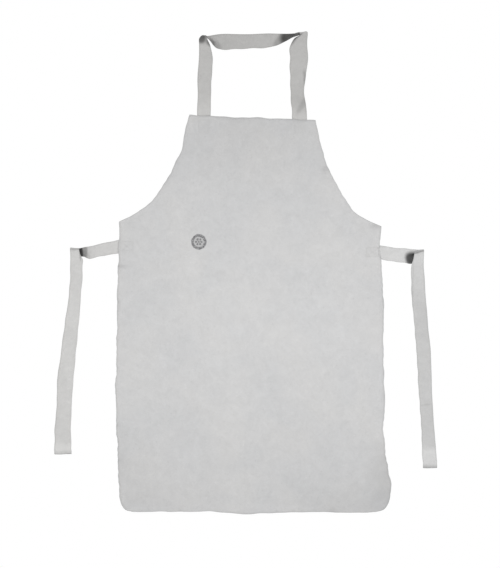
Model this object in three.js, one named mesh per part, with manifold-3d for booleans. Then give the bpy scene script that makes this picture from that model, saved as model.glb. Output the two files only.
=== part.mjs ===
// A bib apron cut from one sheet of split leather, hanging from its neck strap.
// Millimetres, +Z up, +X to the right as seen from the front, the front faces -Y.
// The origin is the middle of the neck strap's top run, at its lower edge, where a peg or hook carries it.
import * as THREE from "three";
import { mergeVertices } from "three/addons/utils/BufferGeometryUtils.js";
import Module from "manifold-3d";

const wasm = await Module();
wasm.setup();

// ---- Driving dimensions ----

const LEATHER = 1.5; // thickness of the panel and of every strap
const GAP = 0.3; // air between two layers that touch
const SEAT_ABOVE_BIB = 156; // the neck strap's seat stands this high over the bib's top edge

// Everything below is measured from the middle of the bib's top edge, before the part is moved so
// that its seat is at the origin.
const BIB_TOP_LEFT = [-140, 2];
const BIB_TOP_RIGHT = [146, -10];
const ARMHOLE_LEFT = [-300, -241];
const ARMHOLE_RIGHT = [296, -252];
const HEM_LEFT = [-299, -901];
const HEM_RIGHT = [317.5, -903];
const HEM_RADIUS = 29;
const HEM_STEPS = 5; // straight steps round each lower corner
const SIDE_LEFT_MID = [-306, -640];
const SIDE_RIGHT_MID = [304, -640];
const ARMHOLE_STEPS = 14; // straight steps along each armhole curve
// The armhole curve's two handles, as shares of the way across and down from the bib to the waist.
const ARMHOLE_UPPER_HANDLE = [0.16, 0.46];
const ARMHOLE_LOWER_HANDLE = [0.42, 0.85];

const FOLD_Z = -350; // the line across the hips where the skirt folds
const FOLD_GAP = 2; // clear space each side of that line

const STRAP_Y = LEATHER + GAP; // middle plane of what is sewn behind the panel
const TOP_RUN_Y = STRAP_Y + LEATHER + 4 * GAP; // the neck strap's top run lies a little further back

const NECK_WIDTH = 30;
const NECK_HINGE_Z = 4; // the strap bends here, just above the bib
const NECK_HINGE_GAP = 3;
const NECK_LEFT_FOOT_X = -107;
const NECK_RIGHT_FOOT_X = 111.5;
const NECK_LEFT_CREST = [-104, 184];
const NECK_RIGHT_CREST = [110, 190];
const NECK_SEWN_LENGTH = 42;
const TOP_RUN_WIDTH = 32;
const TWIST_LEFT = 24; // length of the quarter twist at each end of the top run
const TWIST_RIGHT = 42;
const TOP_RUN_STEPS = 30; // straight steps along the top run
const SHELF_OVERLAP = 1; // a turning strap runs this far into the shelf it joins

const TIE_WIDTH = 28;
const TIE_SEWN_LENGTH = 38;
const TIE_SEAM_LENGTH = 27.5; // the stitched box along that sewn end
const TIE_TWIST = 20; // length of the quarter twist before the tie falls over its crest
const ARM_STEPS = 24; // straight steps along an arm
const TIE_HINGE_GAP = 2; // from the bend beside the panel's edge to the arm
const TIE_SEWN_GAP = 1.5; // from the same bend to the sewn end
const TIE_LEVELS_OUT = 1.1; // the arm's slope ends a tenth of its length before the crest
const TAIL_CLEARANCE = 1; // the tails hang this much further from the panel's plane than the arms
const TAIL_Y = -STRAP_Y - TAIL_CLEARANCE; // middle plane of the tails, in front of the arms
const TAIL_DROP = 2; // clear space under the crest where a tail bends
const TIP_TURN = 9; // end of a tie turned back on itself
const TIP_NARROWER = 1; // the turned-back end is this much narrower than the tail
const TIP_SEAM_SHARE = 0.6; // its seam's height, as a share of TIP_TURN

const LEFT_TIE = {
  side: -1,
  name: "left",
  hingeX: -304.5,
  rootZ: -283,
  crestInner: -383,
  crestOuter: -411,
  crestZ: -301,
  tipX: -427,
  tipZ: -770.5,
  tipWidth: 38,
};
const RIGHT_TIE = {
  side: 1,
  name: "right",
  hingeX: 299.5,
  rootZ: -296,
  crestInner: 366,
  crestOuter: 394,
  crestZ: -308,
  tipX: 408,
  tipZ: -801.5,
  tipWidth: 31,
};

const SEAM_THREAD = 0.8; // thread thickness of the box seams
const SEAM_BAR = 1.4; // width of one stitched line
const SEAM_INSET = 3.5; // from the strap's edges to the stitched line

// ---- Materials ----

const leather = (colour) =>
  new THREE.MeshStandardMaterial({
    color: colour,
    roughness: 0.92,
    metalness: 0,
  });
const PANEL_COLOUR = 0xcfcfcf;
const STRAP_COLOUR = 0xc9c8c6;
const THREAD_COLOUR = 0xdad9d5;

// ---- Shape helpers ----

// A flat plate standing in the XZ plane: an outline of [x, z] points, LEATHER thick, centred on y.
function standingPlate(outline, y, thickness = LEATHER) {
  const shape = new THREE.Shape(outline.map(([x, z]) => new THREE.Vector2(x, z)));
  const geometry = new THREE.ExtrudeGeometry(shape, {
    depth: thickness,
    bevelEnabled: false,
  });
  geometry.rotateX(Math.PI / 2);
  geometry.translate(0, y + thickness / 2, 0);
  return geometry;
}

// A strip between two level edges, each given by its middle [x, z] and its width.
function strip([x0, z0], width0, [x1, z1], width1, y, thickness = LEATHER) {
  const outline = [
    [x0 - width0 / 2, z0],
    [x0 + width0 / 2, z0],
    [x1 + width1 / 2, z1],
    [x1 - width1 / 2, z1],
  ];
  return standingPlate(outline, y, thickness);
}

// A level plate: LEATHER thick, its top and bottom faces level.
function levelPlate(xMin, xMax, yMin, yMax, z) {
  const geometry = new THREE.BoxGeometry(xMax - xMin, yMax - yMin, LEATHER);
  geometry.translate((xMin + xMax) / 2, (yMin + yMax) / 2, z);
  return geometry;
}

// A strap that hangs down from its upper edge and turns about that edge along its length.
// edge(s) is the upper edge's point and turn(s) the angle, with s from 0 to 1. At angle 0 the strap's
// face looks forward, at a quarter turn it lies level and reaches backward.
function turningStrap(edge, turn, width, steps) {
  const geometry = new THREE.BoxGeometry(1, 1, 1, steps, 1, 2);
  const position = geometry.attributes.position;
  for (let i = 0; i < position.count; i += 1) {
    const s = position.getX(i) + 0.5;
    const through = position.getY(i) * LEATHER;
    const down = (0.5 - position.getZ(i)) * width;
    const angle = turn(s);
    const [x, y, z] = edge(s);
    position.setXYZ(
      i,
      x,
      y + down * Math.sin(angle) + through * Math.cos(angle),
      z - down * Math.cos(angle) + through * Math.sin(angle),
    );
  }
  return geometry;
}

function solid(geometry) {
  const bare = geometry.clone();
  bare.deleteAttribute("normal");
  bare.deleteAttribute("uv");
  const merged = mergeVertices(bare, 1e-3);
  return new wasm.Manifold(
    new wasm.Mesh({
      numProp: 3,
      vertProperties: new Float32Array(merged.attributes.position.array),
      triVerts: new Uint32Array(merged.index.array),
    }),
  );
}

// One closed body out of several geometries that run into each other.
function joined(geometries) {
  const whole = geometries.map(solid).reduce((a, b) => a.add(b));
  const mesh = whole.getMesh();
  const geometry = new THREE.BufferGeometry();
  geometry.setAttribute("position", new THREE.BufferAttribute(mesh.vertProperties, 3));
  geometry.setIndex(new THREE.BufferAttribute(mesh.triVerts, 1));
  geometry.computeVertexNormals();
  return geometry;
}

function named(name, geometry, colour) {
  const mesh = new THREE.Mesh(geometry, leather(colour));
  mesh.name = name;
  return mesh;
}

const smoothStep = (t) => t * t * (3 - 2 * t);
const clamp01 = (t) => Math.min(1, Math.max(0, t));
const mix = (a, b, t) => a + (b - a) * t;

// ---- The panel: one sheet, parted only at the hip fold ----

const asVector = ([x, z]) => new THREE.Vector2(x, z);

// Armhole: leaves the bib's corner steeply and arrives level at the waist corner.
function armhole(top, waist) {
  const across = waist[0] - top[0];
  const down = waist[1] - top[1];
  const handle = ([shareX, shareZ]) => asVector([top[0] + across * shareX, top[1] + down * shareZ]);
  return new THREE.CubicBezierCurve(
    asVector(top),
    handle(ARMHOLE_UPPER_HANDLE),
    handle(ARMHOLE_LOWER_HANDLE),
    asVector(waist),
  );
}

function pointOnSide(from, to, z) {
  return [mix(from[0], to[0], (z - from[1]) / (to[1] - from[1])), z];
}

function bibPanel() {
  const lower = FOLD_Z + FOLD_GAP;
  const rightCurve = armhole(BIB_TOP_RIGHT, ARMHOLE_RIGHT).getPoints(ARMHOLE_STEPS);
  const leftCurve = armhole(BIB_TOP_LEFT, ARMHOLE_LEFT).getPoints(ARMHOLE_STEPS);
  const outline = [
    ...leftCurve.reverse().map((p) => [p.x, p.y]),
    ...rightCurve.map((p) => [p.x, p.y]),
    pointOnSide(ARMHOLE_RIGHT, SIDE_RIGHT_MID, lower),
    pointOnSide(ARMHOLE_LEFT, SIDE_LEFT_MID, lower),
  ];
  return named("bib_panel", standingPlate(outline, 0), PANEL_COLOUR);
}

// A lower corner of the sheet, cut round from the side edge to the hem. inward is 1 or -1 along X.
function hemCorner([x, z], inward) {
  const curve = new THREE.QuadraticBezierCurve(
    new THREE.Vector2(x, z + HEM_RADIUS),
    new THREE.Vector2(x, z),
    new THREE.Vector2(x + inward * HEM_RADIUS, z),
  );
  return curve.getPoints(HEM_STEPS).map((p) => [p.x, p.y]);
}

function skirtPanel() {
  const upper = FOLD_Z - FOLD_GAP;
  const outline = [
    pointOnSide(ARMHOLE_LEFT, SIDE_LEFT_MID, upper),
    pointOnSide(ARMHOLE_RIGHT, SIDE_RIGHT_MID, upper),
    SIDE_RIGHT_MID,
    ...hemCorner(HEM_RIGHT, -1),
    ...hemCorner(HEM_LEFT, 1).reverse(),
    SIDE_LEFT_MID,
  ];
  return named("skirt_panel", standingPlate(outline, 0), PANEL_COLOUR);
}

// ---- The neck strap ----

// Each upright run falls from the front edge of a level shelf. The top run leaves that shelf sideways
// and makes a quarter turn about its upper edge, so that it hangs face forward between the two.
function neckStrap() {
  const half = NECK_WIDTH / 2;
  const [leftX, leftZ] = NECK_LEFT_CREST;
  const [rightX, rightZ] = NECK_RIGHT_CREST;
  const foot = NECK_HINGE_Z + NECK_HINGE_GAP;
  const start = leftX + half - SHELF_OVERLAP;
  const end = rightX - half + SHELF_OVERLAP;
  const length = end - start;
  const turn = (s) => {
    const fromLeft = smoothStep(clamp01((s * length) / TWIST_LEFT));
    const fromRight = smoothStep(clamp01(((1 - s) * length) / TWIST_RIGHT));
    return (Math.PI / 2) * (1 - Math.min(fromLeft, fromRight));
  };
  const edge = (s) => [mix(start, end, s), TOP_RUN_Y, mix(leftZ, rightZ, s)];
  const shelfFront = STRAP_Y - LEATHER / 2;
  const shelfBack = TOP_RUN_Y + TOP_RUN_WIDTH;
  const pieces = [
    turningStrap(edge, turn, TOP_RUN_WIDTH, TOP_RUN_STEPS),
    levelPlate(leftX - half, leftX + half, shelfFront, shelfBack, leftZ),
    levelPlate(rightX - half, rightX + half, shelfFront, shelfBack, rightZ),
    strip([NECK_LEFT_FOOT_X, foot], NECK_WIDTH, [leftX, leftZ], NECK_WIDTH, STRAP_Y),
    strip([NECK_RIGHT_FOOT_X, foot], NECK_WIDTH, [rightX, rightZ], NECK_WIDTH, STRAP_Y),
  ];
  return named("neck_strap", joined(pieces), STRAP_COLOUR);
}

function neckSewnEnd(side, x) {
  const top = NECK_HINGE_Z - NECK_HINGE_GAP;
  const geometry = strip([x, top - NECK_SEWN_LENGTH], NECK_WIDTH, [x, top], NECK_WIDTH, STRAP_Y);
  return named(`neck_strap_${side}_end`, geometry, STRAP_COLOUR);
}

// ---- The waist ties ----

// The end of a tie that is sewn behind the panel's side edge.
function tieSewnEnd(tie) {
  const outer = tie.hingeX - tie.side * TIE_SEWN_GAP;
  const inner = outer - tie.side * TIE_SEWN_LENGTH;
  const middle = tie.rootZ - TIE_WIDTH / 2;
  const outline = [
    [Math.min(outer, inner), middle - TIE_WIDTH / 2],
    [Math.max(outer, inner), middle - TIE_WIDTH / 2],
    [Math.max(outer, inner), middle + TIE_WIDTH / 2],
    [Math.min(outer, inner), middle + TIE_WIDTH / 2],
  ];
  return named(`${tie.name}_tie_end`, standingPlate(outline, STRAP_Y), STRAP_COLOUR);
}

// The level stretch of a tie, which ends in a quarter turn and a shelf behind the tail's crest.
function tieArm(tie) {
  const start = tie.hingeX + tie.side * TIE_HINGE_GAP;
  const length = Math.abs(tie.crestInner - start) + TIE_TWIST / 2;
  const end = start + tie.side * length;
  const fallZ = tie.crestZ - LEATHER / 2;
  const outward = (s) => (tie.side < 0 ? 1 - s : s);
  const turn = (s) => (Math.PI / 2) * smoothStep(clamp01(1 - ((1 - outward(s)) * length) / TIE_TWIST));
  const edge = (s) => [
    mix(start, end, outward(s)),
    STRAP_Y,
    mix(tie.rootZ, fallZ, clamp01(outward(s) * TIE_LEVELS_OUT)),
  ];
  const shelfInner = end - tie.side * SHELF_OVERLAP;
  const shelfMin = Math.min(tie.crestOuter, shelfInner);
  const shelfMax = Math.max(tie.crestOuter, shelfInner);
  const pieces = [
    turningStrap(edge, turn, TIE_WIDTH, ARM_STEPS),
    levelPlate(shelfMin, shelfMax, STRAP_Y - LEATHER / 2, STRAP_Y + TIE_WIDTH, fallZ),
  ];
  return named(`${tie.name}_tie_arm`, joined(pieces), STRAP_COLOUR);
}

// The long hanging stretch of a tie, in front of the arm.
function tieTail(tie) {
  const topX = (tie.crestInner + tie.crestOuter) / 2;
  const topZ = tie.crestZ - TAIL_DROP;
  const geometry = strip([tie.tipX, tie.tipZ], tie.tipWidth, [topX, topZ], TIE_WIDTH, TAIL_Y);
  return named(`${tie.name}_tie_tail`, geometry, STRAP_COLOUR);
}

// The last few millimetres of a tie, turned to the back and sewn down.
function tieTip(tie) {
  const y = TAIL_Y + LEATHER + GAP;
  const low = [tie.tipX, tie.tipZ];
  const high = [tie.tipX, tie.tipZ + TIP_TURN];
  const width = tie.tipWidth - TIP_NARROWER;
  const geometry = strip(low, width, high, width, y);
  return named(`${tie.name}_tie_tip`, geometry, STRAP_COLOUR);
}

function tipThread(tie) {
  const tipY = TAIL_Y + LEATHER + GAP;
  const y = tipY + LEATHER / 2 + GAP + SEAM_THREAD / 2;
  const z = tie.tipZ + TIP_TURN * TIP_SEAM_SHARE;
  const width = tie.tipWidth - 2 * SEAM_INSET - TIP_NARROWER;
  const geometry = strip([tie.tipX, z], width, [tie.tipX, z + SEAM_BAR], width, y, SEAM_THREAD);
  return named(`${tie.name}_tie_tip_thread`, geometry, THREAD_COLOUR);
}

// ---- The box seams ----

// Thread in a rectangle with both diagonals, on the back of a sewn end.
function boxSeam(name, centreX, centreZ, width, height) {
  const y = STRAP_Y + LEATHER / 2 + GAP + SEAM_THREAD / 2;
  const bar = (length, angle, x, z) => {
    const geometry = new THREE.BoxGeometry(length, SEAM_THREAD, SEAM_BAR);
    geometry.rotateY(angle);
    geometry.translate(centreX + x, y, centreZ + z);
    return geometry;
  };
  const diagonal = Math.hypot(width, height) - SEAM_BAR;
  const slope = Math.atan2(height, width);
  const pieces = [
    bar(width + SEAM_BAR, 0, 0, height / 2),
    bar(width + SEAM_BAR, 0, 0, -height / 2),
    bar(height, Math.PI / 2, width / 2, 0),
    bar(height, Math.PI / 2, -width / 2, 0),
    bar(diagonal, slope, 0, 0),
    bar(diagonal, -slope, 0, 0),
  ];
  return named(name, joined(pieces), THREAD_COLOUR);
}

function neckSeam(side, x) {
  const top = NECK_HINGE_Z - NECK_HINGE_GAP;
  const room = 2 * SEAM_INSET;
  const middle = top - NECK_SEWN_LENGTH / 2 - SEAM_INSET;
  const height = NECK_SEWN_LENGTH - 2 * room;
  return boxSeam(`neck_${side}_seam`, x, middle, NECK_WIDTH - room, height);
}

function tieSeam(tie) {
  const room = 2 * SEAM_INSET;
  const middleX = tie.hingeX - tie.side * (TIE_SEWN_GAP + TIE_SEWN_LENGTH / 2 + SEAM_INSET / 2);
  const middleZ = tie.rootZ - TIE_WIDTH / 2;
  return boxSeam(`${tie.name}_tie_seam`, middleX, middleZ, TIE_SEAM_LENGTH, TIE_WIDTH - room);
}

// ---- The apron ----

const apron = new THREE.Group();
apron.name = "apron";
apron.position.set(0, -TOP_RUN_Y, -SEAT_ABOVE_BIB);
apron.add(neckStrap(), bibPanel(), skirtPanel());
for (const [side, x] of [
  ["left", NECK_LEFT_FOOT_X],
  ["right", NECK_RIGHT_FOOT_X],
]) {
  apron.add(neckSewnEnd(side, x), neckSeam(side, x));
}
for (const tie of [LEFT_TIE, RIGHT_TIE]) {
  apron.add(tieSewnEnd(tie), tieSeam(tie), tieArm(tie), tieTail(tie), tieTip(tie), tipThread(tie));
}

const part = new THREE.Group();
part.add(apron);

export default part;
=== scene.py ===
"""A bib apron of light grey split leather, hanging from its neck strap.

Metres in the finished meshes. The maker's measures below are millimetres from the middle of the bib's
top edge, with X to the right, Y to the back and Z up, and `placed` carries them into the frame.
"""

import bmesh
import bpy
import numpy as np
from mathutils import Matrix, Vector


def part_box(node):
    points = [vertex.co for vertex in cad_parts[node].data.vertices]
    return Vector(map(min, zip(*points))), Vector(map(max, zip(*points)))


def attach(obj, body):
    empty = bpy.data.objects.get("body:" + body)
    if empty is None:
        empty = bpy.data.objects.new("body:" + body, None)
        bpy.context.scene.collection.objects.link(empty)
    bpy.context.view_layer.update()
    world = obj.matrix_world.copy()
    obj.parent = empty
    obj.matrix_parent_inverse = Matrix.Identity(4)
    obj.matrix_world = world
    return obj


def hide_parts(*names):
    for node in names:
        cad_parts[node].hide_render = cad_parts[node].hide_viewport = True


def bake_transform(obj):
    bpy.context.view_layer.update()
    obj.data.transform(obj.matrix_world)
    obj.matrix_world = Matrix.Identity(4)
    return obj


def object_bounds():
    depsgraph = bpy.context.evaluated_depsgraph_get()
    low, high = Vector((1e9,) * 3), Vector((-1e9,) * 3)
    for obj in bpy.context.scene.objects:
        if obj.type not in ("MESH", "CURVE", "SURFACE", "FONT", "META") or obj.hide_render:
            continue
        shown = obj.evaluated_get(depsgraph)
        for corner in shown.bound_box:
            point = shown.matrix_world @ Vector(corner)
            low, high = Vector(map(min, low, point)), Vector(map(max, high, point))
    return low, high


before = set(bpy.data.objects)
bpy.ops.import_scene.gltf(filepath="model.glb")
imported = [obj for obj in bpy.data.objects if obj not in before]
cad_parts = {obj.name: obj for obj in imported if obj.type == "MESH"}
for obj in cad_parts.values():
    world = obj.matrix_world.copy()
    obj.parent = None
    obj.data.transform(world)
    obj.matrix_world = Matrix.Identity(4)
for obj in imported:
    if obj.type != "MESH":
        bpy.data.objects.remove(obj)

CAD_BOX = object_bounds()

# ---------------------------------------------------------------- measures, in millimetres

MM = 0.001
LEATHER = 1.5                    # thickness of the panel and the straps
LAYER = LEATHER + 0.3            # from one layer's middle to the next one's, where they touch
BIB_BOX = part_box("bib_panel")
BIB_CORNER_Z = 2.0               # the bib's left corner stands this far over the zero height
DATUM = np.array([
    0.0,
    (BIB_BOX[0][1] + BIB_BOX[1][1]) / 2,
    BIB_BOX[1][2] - BIB_CORNER_Z * MM,
])


def placed(points):
    """Millimetres from the bib's top edge, turned into metres in the frame."""
    return np.asarray(points, float) * MM + DATUM


# The chalk line of the panel, as (x, z) points, from the bib's corners down.
LEFT_ARMHOLE = [(-140, 1.6), (-148, -30), (-158, -76), (-169.5, -103), (-194, -151),
                (-212, -177), (-237, -205.5), (-263, -223.5), (-300, -241)]
RIGHT_ARMHOLE = [(147, -10), (152.8, -40), (160, -70), (175.7, -118), (194.5, -156.5),
                 (215.3, -193.5), (237.2, -220), (264, -237), (296.5, -252)]
LEFT_SIDE = [(-300, -241), (-301, -305), (-303, -400), (-305.5, -520), (-306.5, -647),
             (-303, -760), (-299, -845), (-298, -870)]
RIGHT_SIDE = [(296.5, -252), (294.5, -293), (298.5, -373), (301.5, -419), (301.5, -556), (304, -664),
              (302, -727), (306.5, -765), (313, -807), (318.5, -852), (317, -868)]
LEFT_HEM_CORNER = [(-298, -870), (-294, -885), (-285, -896), (-269, -900.5)]
RIGHT_HEM_CORNER = [(317, -868), (312.5, -884.5), (302, -896.5), (284, -902)]
# How far the cut hem strays from the straight line between its corners, as (x, dz).
HEM_STRAY = [(-269, 0), (-225, -0.6), (-150, -1.0), (-92, 0), (-16, -4.6), (60, -2.8),
             (122, -1.4), (200, -0.8), (284, 0)]
PANEL_COLUMNS = 150
ARMHOLE_ROWS, SIDE_ROWS, CORNER_ROWS = 60, 158, 9


# ---------------------------------------------------------------- curves, waves and shells

def through(points, count):
    """A smooth curve through the points: cubic Hermite pieces by chord length, each tangent the
    slope between the neighbours on both sides. Returns `count` points, evenly spaced by chord."""
    p = np.asarray(points, float)
    chord = np.linalg.norm(np.diff(p, axis=0), axis=1)
    t = np.concatenate([[0.0], np.cumsum(np.maximum(chord, 1e-6))])
    slope = np.gradient(p, t, axis=0)
    s = np.linspace(0, t[-1], count)
    k = np.clip(np.searchsorted(t, s, side="right") - 1, 0, len(t) - 2)
    h = (t[k + 1] - t[k])[:, None]
    f = ((s - t[k])[:, None]) / h
    return (
        (2 * f**3 - 3 * f**2 + 1) * p[k]
        + (f**3 - 2 * f**2 + f) * h * slope[k]
        + (3 * f**2 - 2 * f**3) * p[k + 1]
        + (f**3 - f**2) * h * slope[k + 1]
    )


def waves(x, z, length, seed, count=9):
    """Soft random relief between about -1 and 1: the mean of plane waves in random directions, each
    with a wavelength near `length`."""
    rng = np.random.default_rng(seed)
    angle = rng.uniform(0, 2 * np.pi, count)
    size = 2 * np.pi / (length * rng.uniform(0.65, 1.5, count))
    phase = rng.uniform(0, 2 * np.pi, count)
    x, z = np.asarray(x, float)[..., None], np.asarray(z, float)[..., None]
    return np.sin((x * np.cos(angle) + z * np.sin(angle)) * size + phase).sum(-1) / count**0.5


def unit(v):
    """Each vector at length 1."""
    return v / np.maximum(np.linalg.norm(v, axis=-1, keepdims=True), 1e-9)


def grid_normals(grid):
    """The normal at each point of a grid: the cross product of its steps along rows and columns."""
    down = np.gradient(grid, axis=0)
    along = np.gradient(grid, axis=1)
    return unit(np.cross(down, along))


RIM_BULGE = 0.8                  # how far a cut edge bulges out, as a share of half the thickness


def shell(name, middle, thickness, uv, tags):
    """A closed sheet. The middle surface, a grid of rows and columns, is pushed half its thickness
    each way along its normals, and the two faces are joined round the rim over one rounded step.
    `tags` holds one float attribute per name, on the same grid."""
    rows, columns = middle.shape[:2]
    normal = grid_normals(middle)
    half = thickness / 2
    front = (middle + normal * half).reshape(-1, 3)
    back = (middle - normal * half).reshape(-1, 3)
    index = np.arange(rows * columns).reshape(rows, columns)
    loop = np.concatenate([index[:-1, 0], index[-1, :-1], index[:0:-1, -1], index[0, :0:-1]])
    flat = middle.reshape(-1, 3)
    ahead, behind = np.roll(flat[loop], -1, axis=0), np.roll(flat[loop], 1, axis=0)
    outward = unit(np.cross(normal.reshape(-1, 3)[loop], unit(ahead - behind)))
    inner = middle[rows // 2, columns // 2]
    rim = flat[loop] + outward * half * RIM_BULGE
    if np.linalg.norm(rim - inner, axis=1).sum() < np.linalg.norm(flat[loop] - inner, axis=1).sum():
        rim = flat[loop] - outward * half * RIM_BULGE
    total = rows * columns
    corners = [index[:-1, :-1], index[1:, :-1], index[1:, 1:], index[:-1, 1:]]
    quads = np.stack(corners, -1).reshape(-1, 4)
    ring = 2 * total + np.arange(len(loop))
    following = np.roll(np.arange(len(loop)), -1)
    front_rim = np.stack([loop, ring, ring[following], loop[following]], -1)
    back_rim = np.stack([ring, loop + total, loop[following] + total, ring[following]], -1)
    faces = np.concatenate([quads, quads[:, ::-1] + total, front_rim, back_rim])
    points = np.concatenate([front, back, rim])
    uv = np.asarray(uv, float).reshape(-1, 2)
    uv = np.concatenate([uv, uv, uv[loop]])
    both = {}
    for tag, value in tags.items():
        value = np.broadcast_to(value, (2,) + middle.shape[:2]).reshape(2, -1)
        both[tag] = np.concatenate([value[0], value[1], (value[0][loop] + value[1][loop]) / 2])
    return mesh_piece(name, points, faces, uv, both)


def mesh_piece(name, points, faces, uv, tags):
    """An object from arrays of points and quads, with its faces turned outwards by its volume."""
    a, b, c, d = (points[faces[:, k]] for k in range(4))
    first_half = np.einsum("ij,ij->", np.cross(b - a, c - a), a)
    second_half = np.einsum("ij,ij->", np.cross(c - a, d - a), a)
    if first_half + second_half < 0:
        faces = faces[:, ::-1]
    mesh = bpy.data.meshes.new(name)
    mesh.vertices.add(len(points))
    mesh.vertices.foreach_set("co", np.ascontiguousarray(points, np.float32).ravel())
    mesh.loops.add(faces.size)
    mesh.loops.foreach_set("vertex_index", np.ascontiguousarray(faces, np.int32).ravel())
    mesh.polygons.add(len(faces))
    mesh.polygons.foreach_set("loop_start", np.arange(0, faces.size, 4, dtype=np.int32))
    mesh.polygons.foreach_set("loop_total", np.full(len(faces), 4, np.int32))
    mesh.polygons.foreach_set("use_smooth", np.ones(len(faces), bool))
    layer = mesh.uv_layers.new(name="flat")
    layer.data.foreach_set("uv", uv[faces.ravel()].astype(np.float32).ravel())
    for tag, value in tags.items():
        attribute = mesh.attributes.new(tag, "FLOAT", "POINT")
        attribute.data.foreach_set("value", np.ascontiguousarray(value, np.float32))
    mesh.update(calc_edges=True)
    mesh.validate()
    piece = bpy.data.objects.new(name, mesh)
    bpy.context.scene.collection.objects.link(piece)
    return piece


# ---------------------------------------------------------------- the panel

# Short creases that run in from the cut edge: where each starts, the way it runs in degrees from
# the right, its length, breadth and depth in millimetres, and how much shade is painted into it.
PUCKERS = [
    (-303, -342, -4, 26, 4.5, 1.5, 0.20),
    (-302, -282, 6, 11, 3.5, 0.9, 0.09),
    (-303, -424, 3, 9, 3.5, 0.8, 0.08),
    (-306, -510, -3, 12, 4.0, 0.9, 0.07),
    (-307, -574, 5, 10, 4.0, 0.9, 0.08),
    (-306, -704, -8, 13, 4.0, 1.1, 0.10),
    (-305, -752, 4, 10, 3.6, 0.9, 0.09),
    (-304, -784, -5, 18, 4.0, 1.2, 0.12),
    (-161, -904, 84, 12, 5.0, 1.1, 0.11),
    (-82, -904, 96, 9, 4.5, 0.9, 0.08),
    (60, -905, 88, 8, 5.0, 0.8, 0.06),
    (186, -904, 97, 22, 8.0, 1.2, 0.10),
    (306, -424, 176, 12, 4.0, 1.1, 0.16),
    (301, -396, 183, 9, 3.5, 0.8, 0.09),
    (299, -322, 178, 9, 5.0, 0.9, 0.16),
    (305, -586, 181, 9, 4.0, 0.8, 0.07),
    (304, -640, 177, 8, 4.0, 0.8, 0.06),
    (170, -120, 205, 15, 6.0, 1.2, 0.16),
    (286, -249, 188, 24, 6.0, 1.2, 0.16),
    (-172, -104, -20, 12, 4.5, 0.9, 0.07),
    (20, 0, 268, 10, 5.0, 0.8, 0.07),
]
# The strap ends are sewn on here and hold the sheet flat: middle x, z and half sizes.
SEWN_PLACES = [(-106, -22, 26, 46), (111, -30, 28, 52), (-284, -297, 34, 36), (280, -310, 34, 38)]


def pucker_field(x, z, column):
    """The puckers' depth (column 5) or painted shade (column 6) at each point: across a pucker a bell
    curve, along it full at the edge and gone, by a cosine, at its inner end."""
    total = np.zeros_like(x)
    for pucker in PUCKERS:
        x0, z0, turn, length, breadth = pucker[:5]
        turn = np.radians(turn)
        along = (x - x0) * np.cos(turn) + (z - z0) * np.sin(turn)
        across = (z - z0) * np.cos(turn) - (x - x0) * np.sin(turn)
        fade = np.cos(np.clip(along / length, -1, 1) * np.pi / 2).clip(0, 1) ** 1.5
        total += pucker[column] * fade * np.exp(-((across / breadth) ** 2))
    return total


def held_flat(x, z):
    """1 inside the sewn places and 0 outside, over a soft border."""
    total = np.zeros_like(x)
    for x0, z0, half_x, half_z in SEWN_PLACES:
        reach = np.maximum(np.abs(x - x0) / half_x, np.abs(z - z0) / half_z)
        total = np.maximum(total, np.clip((1.35 - reach) / 0.35, 0, 1))
    return total


def panel_depth(x, z):
    """How far the hanging sheet stands behind its flat plane, in millimetres: two shallow upright
    folds that grow down the skirt, over slow waves and small dents from handling."""
    x, z = np.asarray(x, float), np.asarray(z, float)
    fall = np.clip(-z / 900.0, 0, 1)
    folds = 4.2 * fall**1.3 * np.sin(2 * np.pi * (x + 0.12 * z) / 330.0 + 0.7)
    slow = 2.6 * waves(x, z * 0.7, 260, seed=11) * (0.35 + 0.65 * fall)
    dents = 0.55 * waves(x, z, 62, seed=12, count=14) + 0.22 * waves(x, z, 26, seed=13, count=18)
    loose = 1 - held_flat(x, z)
    return folds + slow + (dents + pucker_field(x, z, 5)) * (0.25 + 0.75 * loose)


def panel_outline():
    """Left and right edge points of each row of the sheet, from the bib's top edge to the hem."""
    left = np.concatenate([
        through(LEFT_ARMHOLE, ARMHOLE_ROWS)[:-1],
        through(LEFT_SIDE, SIDE_ROWS)[:-1],
        through(LEFT_HEM_CORNER, CORNER_ROWS),
    ])
    right = np.concatenate([
        through(RIGHT_ARMHOLE, ARMHOLE_ROWS)[:-1],
        through(RIGHT_SIDE, SIDE_ROWS)[:-1],
        through(RIGHT_HEM_CORNER, CORNER_ROWS),
    ])
    return left, right


def edge_distance(middle):
    """Distance of each grid point from the nearest of the four edges, along its row or column."""
    across = np.linalg.norm(np.diff(middle, axis=1), axis=2)
    down = np.linalg.norm(np.diff(middle, axis=0), axis=2)
    zero_column, zero_row = np.zeros((len(middle), 1)), np.zeros((1, middle.shape[1]))
    from_left = np.concatenate([zero_column, np.cumsum(across, 1)], 1)
    from_top = np.concatenate([zero_row, np.cumsum(down, 0)], 0)
    return np.minimum.reduce([
        from_left, from_left[:, -1:] - from_left, from_top, from_top[-1:] - from_top,
    ])


# Broad painted light and shade on the front: middle x, z, reach in x and z, and how much darker (or
# lighter).
BROAD_PAINTED_SHADING = [
    (-80, -60, 110, 70, 0.036),
    (60, -30, 160, 120, 0.056),
    (318, -850, 55, 90, 0.120),
    (200, -900, 150, 60, 0.060),
    (-265, -850, 80, 100, 0.050),
    (70, -800, 260, 150, 0.050),
    (60, -560, 110, 60, 0.018),
    (-20, -470, 200, 110, -0.015),
    (190, -480, 90, 90, -0.015),
    (-300, -780, 55, 70, 0.040),
    (-170, -885, 140, 45, 0.040),
    (205, -880, 85, 40, 0.035),
    (312, -795, 30, 40, 0.035),
]


def panel_shade(x, z):
    """The front's painted broad light and shade: 1 less the painted shade in the puckers and the broad
    painted shading, each a soft round hill.
    """
    total = 1 - pucker_field(x, z, 6)
    for x0, z0, reach_x, reach_z, amount in BROAD_PAINTED_SHADING:
        total = total - amount * np.exp(-(((x - x0) / reach_x) ** 2) - ((z - z0) / reach_z) ** 2)
    return total


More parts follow.
